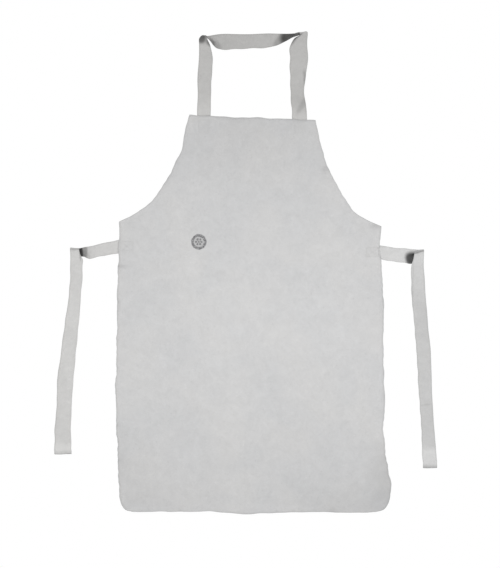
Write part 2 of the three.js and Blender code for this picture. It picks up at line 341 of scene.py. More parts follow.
HEM_ROWS = 60                    # the cut hem strays over this many rows
TOP_ROWS = 12                    # and the cut top edge over this many
CURL_REACH, CURL_DEPTH = 16.0, 2.2
EDGE_SHADE_REACH = 6.0                 # painted shade darkens the cut edges over this distance
HEM_EDGE_SHADE = 0.5                   # and the hem's painted edge shade by this share more


def make_panel():
    """The sheet: straight lines across from the left outline to the right one, with a small random
    wander on every cut edge, pushed back by panel_depth and by the curl of its cut edges."""
    left, right = panel_outline()
    rows = len(left)
    u = np.linspace(0, 1, PANEL_COLUMNS)
    # Columns bunch and spread a little across the sheet.
    u = u + 0.035 * np.sin(4 * np.pi * u) / 2
    u = np.clip(u, 0, 1)
    down = np.arange(rows) * 4.0
    wander = 1.0 * waves(down, 0, 55, seed=21, count=7)
    wander += 0.45 * waves(down, 0, 19, seed=22, count=9)
    left = left + np.stack([wander, 0 * wander], -1)
    right = right + np.stack([wander[::-1] * 0.9, 0 * wander], -1)
    flat = left[:, None] * (1 - u)[None, :, None] + right[:, None] * u[None, :, None]
    x, z = flat[..., 0], flat[..., 1].copy()
    stray_x, stray_z = np.array(HEM_STRAY).T
    last = np.clip((np.arange(rows) - (rows - HEM_ROWS)) / (HEM_ROWS - 1.0), 0, 1)[:, None] ** 2
    z += np.interp(x, stray_x, stray_z) * last
    z += 0.5 * waves(x, 0 * x, 40, seed=23) * last
    first = np.clip(1 - np.arange(rows) / TOP_ROWS, 0, 1)[:, None] ** 2
    z += 0.7 * waves(x, 0 * x, 50, seed=24) * first
    y = panel_depth(x, z)
    distance = edge_distance(np.stack([x, y, z], -1))
    curl = np.clip(1 - distance / CURL_REACH, 0, 1) ** 2
    y = y + CURL_DEPTH * curl * waves(x, z, 120, seed=25) * (1 - held_flat(x, z))
    middle = np.stack([x, y, z], -1)
    edge = np.clip(1 - distance / EDGE_SHADE_REACH, 0, 1)
    edge = edge * (1 + HEM_EDGE_SHADE * np.clip((-z - 890) / 8, 0, 1))
    front = panel_shade(x, z)
    # Painted shade: the front takes the broad painted shading and the puckers' shade, the back the
    # puckers' shade at a lower share.
    shade = np.stack([front, 1 - pucker_field(x, z, 6) * 0.6])
    side = np.stack([np.ones_like(x), np.zeros_like(x)])
    piece = shell(
        "panel", placed(middle), LEATHER * MM, np.stack([x, z], -1) * MM,
        {"edge": edge, "shade": shade, "front": side},
    )
    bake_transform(piece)
    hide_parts("bib_panel", "skirt_panel")
    return piece


# ---------------------------------------------------------------- the straps

STRAP_COLUMNS = 13
STRAP_STEP = 2.2                 # millimetres between rows along a strap
LIGHT_WEIGHT = 6                 # millimetres of chord that a full step of light counts as
# The painted light and shade on a strap's faces is clipped between these.
DARKEST, LIGHTEST = 0.03, 1.15
STRAP_EDGE_SHADE_REACH = 4.0           # painted shade darkens a strap's cut edges over this distance


def behind_panel(x, z):
    """The middle plane of a layer sewn to the back of the panel."""
    return panel_depth(x, z) + LAYER


def strap_grid(stations, seed, wobble=0.55, ripple=0.35):
    """A strap between two edges. Each station is one line across the strap: its first edge's
    (x, y, z), its second edge's (x, y, z), how much light reaches its front face and its back face.
    The edges wander a little and the face ripples, as hand-cut leather does."""
    table = np.asarray(stations, float)
    middle_line = (table[:, :3] + table[:, 3:6]) / 2
    length = np.linalg.norm(np.diff(middle_line, axis=0), axis=1).sum()
    count = int(length / STRAP_STEP) + 2
    keys = np.concatenate([table[:, :6], table[:, 6:8] * LIGHT_WEIGHT], 1)
    lines = through(keys, count)
    first, second = lines[:, :3], lines[:, 3:6]
    # The stations' light values are painted light and shade, carried smoothly along the strap.
    light = np.clip(lines[:, 6:8] / LIGHT_WEIGHT, DARKEST, LIGHTEST)
    steps = np.linalg.norm(np.diff((first + second) / 2, axis=0), axis=1)
    along = np.concatenate([[0.0], np.cumsum(steps)])
    side = unit(second - first)
    first = first + side * (wobble * waves(along, 0, 45, seed=seed))[:, None]
    second = second + side * (wobble * waves(along, 0, 38, seed=seed + 1))[:, None]
    c = np.linspace(0, 1, STRAP_COLUMNS)
    grid = first[:, None] * (1 - c)[None, :, None] + second[:, None] * c[None, :, None]
    width = np.linalg.norm(second - first, axis=1)
    across = width[:, None] * c[None, :]
    normal = grid_normals(grid)
    relief = ripple * waves(across, along[:, None] + 0 * across, 34, seed=seed + 2)
    grid = grid + normal * relief[..., None]
    return grid, across, along, light


def fold_shadow(grid, pockets):
    """How much light the folds leave on a strap's front: 1, and less inside each pocket, an ellipse
    in x and z (middle, half sizes, turn in degrees, darkness) with a wide soft border."""
    # Painted shadow: the pockets darken the strap's colour itself.
    left = np.ones(grid.shape[:2])
    for x0, z0, half_x, half_z, turn, darkness in pockets:
        turn = np.radians(turn)
        x, z = grid[..., 0] - x0, grid[..., 2] - z0
        across = (x * np.cos(turn) + z * np.sin(turn)) / half_x
        up = (z * np.cos(turn) - x * np.sin(turn)) / half_z
        t = np.clip((1.45 - (np.abs(across) ** 2.5 + np.abs(up) ** 2.5) ** 0.4) / 0.8, 0, 1)
        left *= 1 - darkness * t * t * (3 - 2 * t)
    return left


def make_strap(name, stations, seed, lane, pockets=(), warm=1.0, tone=1.0):
    """One strap as a closed ribbon. `lane` keeps its leather pattern apart from the other straps'."""
    grid, across, along, light = strap_grid(stations, seed)
    # tone scales the strap's painted light and shade as a whole, so that pieces of the same leather
    # come out lighter or darker.
    light = light * tone
    distance = edge_distance(grid)
    uv = np.stack([across + lane * 100.0, along[:, None] + 0 * across], -1) * MM
    # Painted shade on the front: the station light, darkened inside the fold pockets.
    front = light[:, :1] * fold_shadow(grid, pockets)
    back = light[:, 1:] + 0 * front
    front_first = grid_normals(grid)[..., 1].mean() < 0
    shade = np.stack([front, back] if front_first else [back, front])
    edge = np.clip(1 - distance / STRAP_EDGE_SHADE_REACH, 0, 1)
    tags = {"edge": edge, "shade": shade, "warm": np.full_like(edge, warm)}
    piece = shell(name, placed(grid), LEATHER * MM, uv, tags)
    return piece


def sewn(ax, az, bx, bz, front=1.0, back=1.0):
    """A station of a strap that lies against the back of the panel."""
    return (ax, behind_panel(ax, az), az, bx, behind_panel(bx, bz), bz, front, back)


def make_neck_strap():
    """Up from behind the bib's left corner, over its crest, forward again in a diagonal fold, across
    to the right with a quarter turn at each end, and down behind the right corner."""
    stations = [
        sewn(-121.5, -41, -91.5, -41),
        sewn(-122, 0, -92, 0),
        (-121, 1.6, 40, -91, 1.6, 40, 0.9, 1),
        (-120.4, 0.8, 90, -90, 1.1, 90, 0.88, 1),
        (-117.8, 0.3, 138, -88, 0.8, 136, 0.86, 1),
        (-116.8, 0.2, 164, -94, 0.4, 162, 0.82, 1),
        (-116, -0.2, 176.5, -100.6, -0.2, 176, 0.6, 1),
        (-112.6, 1.5, 181.8, -102.3, 1.5, 183, 0.5, 0.5),
        (-109.8, 4.0, 184.0, -102, 10, 184.6, 0.5, 0.3),
        (-109.2, 5.6, 184.1, -100, 22, 184.2, 0.5, 0.25),
        (-110, 5.9, 183.2, -99.4, 23.3, 183.0, 0.4, 0.2),
        (-109, 5.6, 182.2, -98.6, 22.5, 181.8, 0.35, 0.25),
        (-103.5, 5.2, 182.5, -93, 24, 176, 0.5, 0.5),
        (-96, 5.0, 183.4, -86, 20, 165, 0.7, 0.9),
        (-86, 5.0, 184.8, -78, 11, 156.5, 0.76, 1),
        (-74, 5.0, 186, -68, 6.2, 152.7, 0.8, 1),
        (-40, 5.0, 186.4, -40, 5.5, 153.5, 0.82, 1),
        (0, 5.0, 187, 0, 5.5, 155, 0.82, 1),
        (50, 5.0, 187.6, 48, 7, 159.5, 0.82, 1),
        (72, 5.0, 188, 70, 14, 168, 0.78, 1),
        (92, 5.0, 188.4, 84, 22, 176.2, 0.6, 0.9),
        (108, 5.1, 188.8, 92, 27, 182.4, 0.3, 0.5),
        (127, 5.6, 189.2, 98, 30, 186.6, 0.3, 0.25),
        (128.2, 5.9, 190.4, 99.2, 31, 188, 0.8, 0.2),
        (127.5, 5.6, 191.4, 99, 30, 189.4, 0.9, 0.25),
        (128, 4.0, 191.6, 106, 10, 191.2, 0.9, 0.3),
        (128.5, 1.2, 190.6, 111, 1.6, 190.2, 0.95, 0.5),
        (129, -0.3, 186.6, 113, -0.3, 185.6, 0.86, 1),
        (129, -0.2, 175, 99, 0, 176.5, 0.86, 1),
        (129, 0, 160, 90, 0.5, 160, 0.86, 1),
        (129.3, 0.3, 130, 89.8, 0.8, 130, 0.86, 1),
        (125.3, 0.8, 90, 90.6, 1.1, 90, 0.85, 1),
        (121, 1.3, 61, 91, 1.2, 61, 0.83, 1),
        (125, 1.6, 25, 93, 1.6, 25, 0.83, 1),
        sewn(128, -9, 95, -9),
        sewn(127.5, -52, 94.5, -52),
    ]
    piece = make_strap(
        "neck_strap_leather", stations, seed=41, lane=0, pockets=NECK_POCKETS, tone=0.945)
    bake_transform(piece)
    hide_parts("neck_strap", "neck_strap_left_end", "neck_strap_right_end")
    return piece


LEFT_ARM = [
    sewn(-264, -281, -264, -309),
    sewn(-300, -283, -300, -312),
    (-318, 1.9, -286.5, -318, 2.2, -315, 1, 1),
    (-340, 1.4, -291, -341, 2.4, -319.5, 1, 1),
    (-366, 1.4, -297, -367, 3.2, -325, 0.98, 1),
    (-374, 1.5, -298.4, -373.5, 8, -323.6, 0.95, 0.9),
    (-382, 1.7, -300.2, -382.5, 16, -320.2, 0.95, 0.8),
    (-390, 1.8, -302.0, -391.5, 23, -319.2, 0.95, 0.6),
    (-400, 1.9, -303.2, -397, 26.5, -313, 0.9, 0.5),
    (-410.2, 2.0, -303.8, -391, 26.5, -306.4, 0.8, 0.5),
    (-411.4, 2.3, -302.8, -388.8, 27.8, -304.8, 0.8, 0.3),
    (-410.4, 1.9, -301.7, -389.5, 25.5, -303.5, 0.8, 0.3),
    (-410.2, -0.2, -301.6, -390.5, 20, -303.2, 0.8, 0.3),
]
LEFT_TAIL = [
    (-411.0, 1.2, -300.9, -388.5, 25.5, -302, 0.95, 0.3),
    (-411.0, 0.2, -300.9, -390.5, 12, -302.2, 0.95, 0.3),
    (-411.0, -1.5, -301.8, -391, -0.4, -303, 0.95, 0.3),
    (-410.8, -2.8, -305, -391, -2.4, -306, 1, 0.4),
    (-410.4, -3.0, -311, -390.3, -2.8, -312, 1, 0.5),
    (-410, -3.0, -319, -387.5, -2.6, -320, 1, 0.8),
    (-410, -2.9, -328, -383.4, -2.5, -327, 1, 1),
    (-410, -2.8, -342, -383, -2.6, -342, 1, 1),
    (-411.5, -2.6, -380, -385, -2.6, -380, 1, 1),
    (-415, -2.6, -419, -388, -2.8, -419, 1, 1),
    (-421.5, -2.8, -465, -391.5, -2.6, -465, 1, 1),
    (-428, -2.6, -510, -396, -2.8, -510, 1, 1),
    (-434.5, -2.6, -560, -400.5, -3.0, -560, 1, 1),
    (-440.5, -2.9, -610, -405, -2.6, -610, 1, 1),
    (-441.5, -2.6, -658, -408, -2.9, -658, 1, 1),
    (-444.5, -2.8, -700, -409.5, -2.6, -700, 1, 1),
    (-446.6, -2.8, -740, -409.6, -2.7, -740, 1, 1),
    (-446.6, -2.8, -765.4, -408, -2.8, -764.4, 1, 1),
    (-446.2, -1.9, -770.8, -407.8, -1.9, -770.2, 0.8, 0.6),
    (-445.6, -0.8, -765.6, -408.4, -0.8, -765.2, 0.8, 0.4),
    (-445.8, -0.8, -759.5, -409.2, -0.8, -759.5, 0.9, 0.4),
]
RIGHT_ARM = [
    sewn(260, -294, 260, -323),
    sewn(296, -296, 296, -326),
    (312, 1.9, -298.5, 312, 2.2, -329, 1, 1),
    (332, 1.4, -301, 332, 2.3, -332, 1, 1),
    (351, 1.3, -302.6, 353, 2.6, -334.5, 1, 1),
    (358, 1.4, -303.2, 360, 9, -335.6, 1, 0.9),
    (365, 1.5, -303.9, 367.5, 16, -335.6, 1, 0.8),
    (374, 1.7, -304.8, 375, 21, -333.4, 1, 0.6),
    (384, 1.8, -305.8, 379.5, 26, -323, 1, 0.5),
    (393.4, 2.0, -307.2, 376, 27, -309.6, 0.9, 0.5),
    (394.6, 2.2, -306.2, 372.8, 28, -307.4, 0.5, 0.3),
    (393.6, 1.8, -305.0, 373.5, 25.5, -306.2, 0.8, 0.3),
    (393.4, -0.2, -304.9, 374.5, 20, -305.9, 0.8, 0.3),
]
RIGHT_TAIL = [
    (394.2, 1.0, -304.6, 373.5, 25.5, -307.2, 0.95, 0.3),
    (394.2, 0.2, -304.8, 373.5, 12, -309, 0.95, 0.3),
    (394.2, -1.5, -306.6, 373, -0.4, -311, 0.95, 0.3),
    (394, -2.8, -310.5, 372, -2.4, -315, 1.06, 0.4),
    (393.6, -3.0, -318.5, 371, -2.8, -322, 1.12, 0.5),
    (393.2, -3.0, -328, 369.5, -2.7, -330, 1.12, 0.8),
    (393, -2.9, -341, 366, -2.6, -341, 1.1, 1),
    (394.5, -2.8, -366, 365, -2.6, -366, 1.07, 1),
    (397, -2.6, -403, 366.5, -2.8, -403, 1.03, 1),
    (400, -2.8, -437, 369, -2.6, -437, 1, 1),
    (405, -2.6, -499, 375, -2.8, -499, 1, 1),
    (410.3, -2.8, -556, 379, -2.6, -556, 1, 1),
    (411.3, -2.6, -617, 382.5, -2.9, -617, 1, 1),
    (413.6, -3.0, -655, 385, -2.5, -655, 1, 1),
    (415.2, -2.6, -686, 387, -2.8, -686, 1, 1),
    (420, -2.8, -747, 389.5, -2.6, -747, 1, 1),
    (423.4, -2.8, -796.6, 392.2, -2.8, -795.6, 1, 1),
    (423.4, -1.9, -801.8, 392.6, -1.9, -801.2, 0.7, 0.6),
    (422.6, -0.8, -796.4, 393.2, -0.8, -796, 0.8, 0.4),
    (422.4, -0.8, -790.5, 393.4, -0.8, -790.5, 0.9, 0.4),
]


def make_tie(side, arm, tail, seed, lane, arm_pockets, tail_pockets, warm, tones):
    """A waist tie in two lengths, parted at its diagonal fold behind the crest."""
    # tones scales the painted light and shade of the arm and of the tail, one share each.
    near = make_strap(f"{side}_tie_arm_leather", arm, seed, lane, arm_pockets, warm, tones[0])
    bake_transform(near)
    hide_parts(f"{side}_tie_end", f"{side}_tie_arm")
    far = make_strap(f"{side}_tie_tail_leather", tail, seed + 7, lane + 1, tail_pockets, warm, tones[1])
    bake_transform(far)
    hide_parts(f"{side}_tie_tail", f"{side}_tie_tip")
    return near, far


# ---------------------------------------------------------------- stitches

STITCH_PITCH = 4.4               # millimetres from one stitch to the next
STITCH_LENGTH = 3.5
THREAD = 0.9
STITCH_ROWS, STITCH_SIDES = 15, 8
STITCH_ARCH, STITCH_DIVE = 0.50, 0.20    # a stitch's arch, and how deep its ends go
PLY_SWELL, PLY_TURNS = 0.16, 1.1         # the two plies' swell, and their turns along a stitch
BACK_THREAD_TONE, FRONT_THREAD_TONE, FRONT_TIP_TONE = 1.08, 0.97, 0.98
TIP_INSET = 4.0                  # from a tie's edges to the seam across its end
DIAGONAL_TRIM = 0.09             # a box seam's diagonals stop this share short of its corners


def stitch_line(start, end):
    """Middles and directions of the stitches that fill the line from start to end in (x, z)."""
    start, end = np.array(start, float), np.array(end, float)
    length = np.linalg.norm(end - start)
    count = max(int(round(length / STITCH_PITCH)), 1)
    spot = (np.arange(count) + 0.5) / count
    way = (end - start) / length
    return start + (end - start) * spot[:, None], np.repeat(way[None], count, 0)


def stitches(name, lines, surface, outward, body, tone):
    """Rows of stitches on a surface y = surface(x, z), as one piece. Each stitch is a short tube
    along its line: its middle arches off the leather as a sine, its ends dive in, and its radius
    swells twice round and turns along it, as two-ply thread does."""
    middles, ways = (np.concatenate(part) for part in zip(*(stitch_line(*line) for line in lines)))
    s = np.linspace(0, 1, STITCH_ROWS)
    turn = np.linspace(0, 2 * np.pi, STITCH_SIDES, endpoint=False)
    body_width = np.sqrt(np.clip(1 - (2 * s - 1) ** 6, 0, 1))
    ply = 1 + PLY_SWELL * np.cos(2 * (turn[None, :] - 2 * np.pi * PLY_TURNS * s[:, None]))
    radius = THREAD / 2 * body_width[:, None] * ply
    step = (s - 0.5) * STITCH_LENGTH
    line_x = middles[:, :1] + ways[:, :1] * step
    line_z = middles[:, 1:] + ways[:, 1:] * step
    lift = STITCH_ARCH * np.sin(np.pi * s) - STITCH_DIVE
    line_y = surface(line_x, line_z) + outward * lift
    sideways = np.stack([-ways[:, 1], ways[:, 0]], -1)
    across = radius * np.cos(turn)
    x = line_x[..., None] + sideways[:, :1, None] * across
    z = line_z[..., None] + sideways[:, 1:, None] * across
    y = line_y[..., None] + outward * radius * np.sin(turn)
    points = placed(np.stack([x, y, z], -1).reshape(-1, 3))
    total = len(middles)
    index = np.arange(total * STITCH_ROWS * STITCH_SIDES).reshape(total, STITCH_ROWS, STITCH_SIDES)
    ahead = np.roll(index, -1, axis=2)
    quads = np.stack([index[:, :-1], index[:, 1:], ahead[:, 1:], ahead[:, :-1]], -1).reshape(-1, 4)
    along = np.broadcast_to(step[None, :, None], x.shape)
    round_it = np.broadcast_to(turn / (2 * np.pi) * THREAD * np.pi, x.shape)
    uv = np.stack([round_it, along + np.arange(total)[:, None, None] * 7.0], -1).reshape(-1, 2) * MM
    piece = mesh_piece(name, points, quads, uv, {"tone": np.full(len(points), tone)})
    close_ends(piece)
    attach(piece, body)
    piece.data.materials.append(THREAD_MATERIAL)
    return piece


def close_ends(piece):
    """Draw each tube's end ring together to a point, so that no hole is left."""
    bm = bmesh.new()
    bm.from_mesh(piece.data)
    bmesh.ops.remove_doubles(bm, verts=bm.verts, dist=2e-6)
    bm.to_mesh(piece.data)
    bm.free()


def flat_box(node):
    """The middle line of a seam's outline, as (x, z) corners in the maker's millimetres."""
    low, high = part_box(node)
    inset = THREAD / 2 + 0.3
    x0, x1 = (low[0] - DATUM[0]) / MM + inset, (high[0] - DATUM[0]) / MM - inset
    z0, z1 = (low[2] - DATUM[2]) / MM + inset, (high[2] - DATUM[2]) / MM - inset
    return x0, x1, z0, z1


def strap_back(x, z):
    """The back face of a strap end sewn behind the panel."""
    return behind_panel(x, z) + LEATHER / 2


def panel_front(x, z):
    """The front face of the panel."""
    return panel_depth(x, z) - LEATHER / 2


def make_box_seam(node):
    """A rectangle of stitches with both diagonals, through the strap's end and the panel."""
    x0, x1, z0, z1 = flat_box(node)
    trim_x, trim_z = DIAGONAL_TRIM * (x1 - x0), DIAGONAL_TRIM * (z1 - z0)
    lines = [
        ((x0, z1), (x1, z1)), ((x1, z1), (x1, z0)), ((x1, z0), (x0, z0)), ((x0, z0), (x0, z1)),
        ((x0 + trim_x, z0 + trim_z), (x1 - trim_x, z1 - trim_z)),
        ((x0 + trim_x, z1 - trim_z), (x1 - trim_x, z0 + trim_z)),
    ]
    back = stitches(f"{node}_back_stitches", lines, strap_back, 1, "bib", BACK_THREAD_TONE)
    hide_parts(node)
    stitches(f"{node}_front_stitches", lines, panel_front, -1, "bib", FRONT_THREAD_TONE)


def make_tip_seam(side, tail):
    """One row of stitches across a tie's turned-back end, on the back of the tail."""
    low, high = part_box(f"{side}_tie_tip_thread")
    z = ((low[2] + high[2]) / 2 - DATUM[2]) / MM
    turned_back, front = tail[-2][1] + LEATHER / 2, tail[-4][1] - LEATHER / 2
    ends = sorted((tail[-2][0], tail[-2][3]))
    line = [((ends[0] + TIP_INSET, z), (ends[1] - TIP_INSET, z))]
    back = stitches(
        f"{side}_tip_back_stitches", line, lambda x, z: turned_back + 0 * x, 1, f"{side}_tail",
        BACK_THREAD_TONE)
    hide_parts(f"{side}_tie_tip_thread")
    stitches(
        f"{side}_tip_front_stitches", line, lambda x, z: front + 0 * x, -1, f"{side}_tail",
        FRONT_TIP_TONE)


# ---------------------------------------------------------------- materials

class Recipe:
    """One material's nodes, put down in short calls. A value is a number, a colour or a socket."""

    def __init__(self, name):
        self.material = bpy.data.materials.new(name)
        self.material.use_nodes = True
        self.nodes = self.material.node_tree.nodes
        self.links = self.material.node_tree.links
        self.shader = self.nodes["Principled BSDF"]

    def feed(self, socket, value):
        if isinstance(value, bpy.types.NodeSocket):
            self.links.new(value, socket)
        else:
            socket.default_value = value

    def put(self, kind, inputs, **settings):
        node = self.nodes.new("ShaderNode" + kind)
        for key, value in settings.items():
            setattr(node, key, value)
        for key, value in inputs.items():
            self.feed(node.inputs[key], value)
        return node

    def math(self, operation, a, b=0.0):
        return self.put("Math", {0: a, 1: b}, operation=operation).outputs[0]

    def noise(self, vector, scale, detail=2.0, roughness=0.5, distortion=0.0):
        values = {"Vector": vector, "Scale": scale, "Detail": detail, "Roughness": roughness,
                  "Distortion": distortion}
        return self.put("TexNoise", values).outputs[0]

    def stretched(self, vector, scale, turn):
        values = {"Vector": vector, "Scale": scale, "Rotation": (0, 0, turn)}
        return self.put("Mapping", values).outputs[0]

    def ease(self, value, low, high, to_low=0.0, to_high=1.0):
        """A smooth step from to_low at `low` to to_high at `high`."""
        values = {0: value, 1: low, 2: high, 3: to_low, 4: to_high}
        return self.put("MapRange", values, interpolation_type="SMOOTHSTEP").outputs[0]

    def stack(self, base, *layers):
        """base plus amount x (pattern - 0.5) for each (pattern, amount)."""
        total = base
        for pattern, amount in layers:
            swing = self.math("SUBTRACT", pattern, 0.5)
            total = self.math("ADD", total, self.math("MULTIPLY", swing, amount))
        return total

    def attribute(self, name):
        return self.put("Attribute", {}, attribute_name=name).outputs["Fac"]

    def mix(self, factor, a, b):
        return self.put("Mix", {0: factor, 6: a, 7: b}, data_type="RGBA").outputs[2]

    def bump(self, height, strength, distance):
        normal = self.put("Bump", {"Height": height, "Strength": strength, "Distance": distance})
        self.links.new(normal.outputs[0], self.shader.inputs["Normal"])


STAMP_X, STAMP_Z = -118.2, -287.0          # the middle of the round ink mark
STAMP_RING, STAMP_LINE = 14.4, 2.9         # its ring's radius and half its breadth
STAMP_DOTS, STAMP_DOT = 6.2, 2.7           # its six dots' circle and each dot's radius
INK = (0.075, 0.075, 0.08, 1)


def round_mark(r, flat):
    """Worn ink, 0 to 1: a ring with six dots in a circle and one in the middle, broken by wear."""
    smear = r.put("TexNoise", {"Vector": flat, "Scale": 210.0, "Detail": 3.0}).outputs["Color"]
    smear = r.put("VectorMath", {0: smear, 1: (0.5, 0.5, 0.5)}, operation="SUBTRACT").outputs[0]
    smear = r.put("VectorMath", {0: smear, 1: (0.0034,) * 3}, operation="MULTIPLY").outputs[0]
    centre = (STAMP_X * MM, STAMP_Z * MM, 0)
    offset = r.put("VectorMath", {0: flat, 1: centre}, operation="SUBTRACT").outputs[0]
    offset = r.put("VectorMath", {0: offset, 1: smear}, operation="ADD").outputs[0]
    split = r.put("SeparateXYZ", {0: offset})
    x, z = (r.math("DIVIDE", split.outputs[k], MM) for k in (0, 1))
    radius = r.math("SQRT", r.math("ADD", r.math("MULTIPLY", x, x), r.math("MULTIPLY", z, z)))
    ring = r.ease(r.math("ABSOLUTE", r.math("SUBTRACT", radius, STAMP_RING)),
                  STAMP_LINE - 0.7, STAMP_LINE + 1.0, 1, 0)
    sixth = np.pi / 3
    angle = r.math("ADD", r.math("ARCTAN2", z, x), sixth / 2)
    sector = r.math("SUBTRACT", r.math("FLOORED_MODULO", angle, sixth), sixth / 2)
    dx = r.math("SUBTRACT", r.math("MULTIPLY", radius, r.math("COSINE", sector)), STAMP_DOTS)
    dz = r.math("MULTIPLY", radius, r.math("SINE", sector))
    reach = r.math("SQRT", r.math("ADD", r.math("MULTIPLY", dx, dx), r.math("MULTIPLY", dz, dz)))
    dots = r.ease(r.math("MINIMUM", reach, radius), STAMP_DOT - 0.8, STAMP_DOT + 0.9, 1, 0)
    wear = r.ease(r.noise(flat, 330, 4, 0.7), 0.34, 0.60, 0.36, 0.92)
    spread = r.ease(radius, STAMP_RING + 1, STAMP_RING + 4, 0.22, 0)
    return r.math("MAXIMUM", r.math("MULTIPLY", r.math("MAXIMUM", ring, dots), wear), spread)


def make_leather(name, colour, warm_colour, marked=False):
    """Split leather with a short nap: clouds and blotches of lighter and darker hide, small pale
    flecks and dark pits, brushed fibres, faint veins, and painted shade along the cut edges."""
    r = Recipe(name)
    flat = r.put("UVMap", {}, uv_map="flat").outputs[0]
    clouds = r.noise(flat, 8, 2, 0.5, 0.5)
    blotches = r.noise(flat, 42, 3, 0.55, 0.8)
    mottle = r.noise(flat, 130, 3, 0.6, 0.6)
    brushed = r.noise(r.stretched(flat, (1.0, 0.35, 1.0), 0.35), 1000, 3, 0.65, 1.6)
    fibres = r.noise(r.stretched(flat, (1.0, 0.3, 1.0), -0.6), 3600, 3, 0.7, 2.2)
    hairs = r.noise(r.stretched(flat, (1.0, 0.22, 1.0), 0.9), 2400, 2, 0.6, 2.6)
    hairs = r.ease(hairs, 0.56, 0.66)
    cells = r.put("TexVoronoi", {"Vector": flat, "Scale": 190.0})
    pick = r.put("SeparateColor", {0: cells.outputs["Color"]})
    spot = r.ease(cells.outputs["Distance"], 0.12, 0.42, 1, 0)
    flecks = r.math("MULTIPLY", spot, r.ease(pick.outputs[0], 0.72, 0.95))
    pits = r.math("MULTIPLY", spot, r.ease(pick.outputs[1], 0.84, 0.97))
    vein = r.math("ABSOLUTE", r.math("SUBTRACT", r.noise(flat, 19, 4, 0.6, 1.8), 0.5))
    veins = r.ease(vein, 0.0, 0.014, 1, 0)
    light = r.stack(1.008, (clouds, 0.12), (blotches, 0.16), (mottle, 0.12), (brushed, 0.24),
                    (fibres, 0.42))
    light = r.math("ADD", light, r.math("MULTIPLY", hairs, 0.07))
    light = r.math("ADD", light, r.math("MULTIPLY", flecks, 0.06))
    light = r.math("SUBTRACT", light, r.math("MULTIPLY", pits, 0.08))
    light = r.math("SUBTRACT", light, r.math("MULTIPLY", veins, 0.022))
    # Painted shade: darker towards the cut edges, then the painted light and shade of the shade
    # attribute multiplied in.
    edge = r.attribute("edge")
    wear = r.stack(0.075, (mottle, 0.22), (brushed, 0.2))
    edge_shade = r.math("MULTIPLY", r.math("POWER", edge, 1.6), wear)
    light = r.math("MULTIPLY", r.math("SUBTRACT", light, edge_shade), r.attribute("shade"))
    hue = r.mix(r.attribute("warm"), colour, warm_colour)
    hue = r.mix(r.ease(clouds, 0.35, 0.65), hue, warm_colour) if marked else hue
    evenly = r.put("CombineXYZ", {0: light, 1: light, 2: light}).outputs[0]
    tinted = r.put("VectorMath", {0: hue, 1: evenly}, operation="MULTIPLY").outputs[0]
    if marked:
        ink = r.math("MULTIPLY", round_mark(r, flat), r.attribute("front"))
        tinted = r.mix(ink, tinted, INK)
    r.feed(r.shader.inputs["Base Color"], tinted)
    r.feed(r.shader.inputs["Roughness"], r.stack(0.93, (blotches, 0.12), (brushed, 0.16)))
    r.shader.inputs["Specular IOR Level"].default_value = 0.2
    r.shader.inputs["Sheen Weight"].default_value = 0.12
    r.shader.inputs["Sheen Roughness"].default_value = 0.5
    height = r.stack(0.5, (brushed, 0.6), (fibres, 0.45), (hairs, 0.18), (mottle, 0.6), (blotches, 0.7))
    height = r.math("SUBTRACT", height, r.math("MULTIPLY", r.math("ADD", pits, veins), 0.15))
    r.bump(height, 0.55, 0.0009)
    return r.material


def make_thread():
    """Spun thread: fine fibres that wind round it, a little uneven in tone."""
    r = Recipe("thread_spun")
    flat = r.put("UVMap", {}, uv_map="flat").outputs[0]
    wound = r.noise(r.stretched(flat, (1.0, 0.25, 1.0), 0.6), 5200, 2, 0.6)
    uneven = r.noise(flat, 300, 2)
    light = r.math("MULTIPLY", r.stack(1.0, (wound, 0.5), (uneven, 0.18)), r.attribute("tone"))
    grey = r.put("CombineXYZ", {0: r.math("MULTIPLY", light, THREAD_TONE),
                                1: r.math("MULTIPLY", light, THREAD_TONE),
                                2: r.math("MULTIPLY", light, THREAD_TONE * 0.985)}).outputs[0]
    r.feed(r.shader.inputs["Base Color"], grey)
    r.feed(r.shader.inputs["Roughness"], r.stack(0.8, (wound, 0.3)))
    r.shader.inputs["Sheen Weight"].default_value = 0.2
    r.bump(wound, 0.5, 0.0002)
    return r.material


THREAD_TONE = 0.47
PANEL_GREY, PANEL_WARM_GREY = (0.465, 0.466, 0.469, 1), (0.468, 0.466, 0.465, 1)
STRAP_GREY, STRAP_WARM_GREY = (0.482, 0.482, 0.480, 1), (0.4865, 0.482, 0.4735, 1)
PANEL_LEATHER = make_leather("panel_split_leather", PANEL_GREY, PANEL_WARM_GREY, marked=True)
STRAP_LEATHER = make_leather("strap_split_leather", STRAP_GREY, STRAP_WARM_GREY)
THREAD_MATERIAL = make_thread()

# ---------------------------------------------------------------- the apron

# Painted shadows inside the straps' folds: middle x, z, half sizes, turn in degrees and darkness.
NECK_POCKETS = [
    (-113, 178, 9, 11.5, 0, 0.64),
    (-92, 168, 9, 8, -50, 0.50),
    (-80, 160, 12, 10, -40, 0.22),
    (86, 182, 16, 19, -35, 0.78),
    (66, 172, 9, 18, -35, 0.24),
    (106, 180, 14, 1.7, 34, 0.60),
    (123, 86, 3, 18, 4, 0.28),
    (118, 26, 5.5, 22, -32, 0.17),
]
LEFT_ARM_POCKETS = [(-380, -309, 7, 16, 0, 0.45), (-389.5, -310, 6.0, 15, 4, 0.93)]
LEFT_TAIL_POCKETS = [(-400, -304, 12, 1.6, 0, 0.3), (-388, -318, 1.5, 12, 0, 0.4)]
RIGHT_ARM_POCKETS = [(365.5, -325, 12, 14, 12, 0.86), (384, -312, 18, 2.6, 12, 0.9)]
RIGHT_TAIL_POCKETS = [
    (383, -310.5, 13, 1.3, 15, 0.5),
    (398, -658, 12, 2.2, 8, 0.10),
    (367, -430, 1.6, 110, -2, 0.12),
]

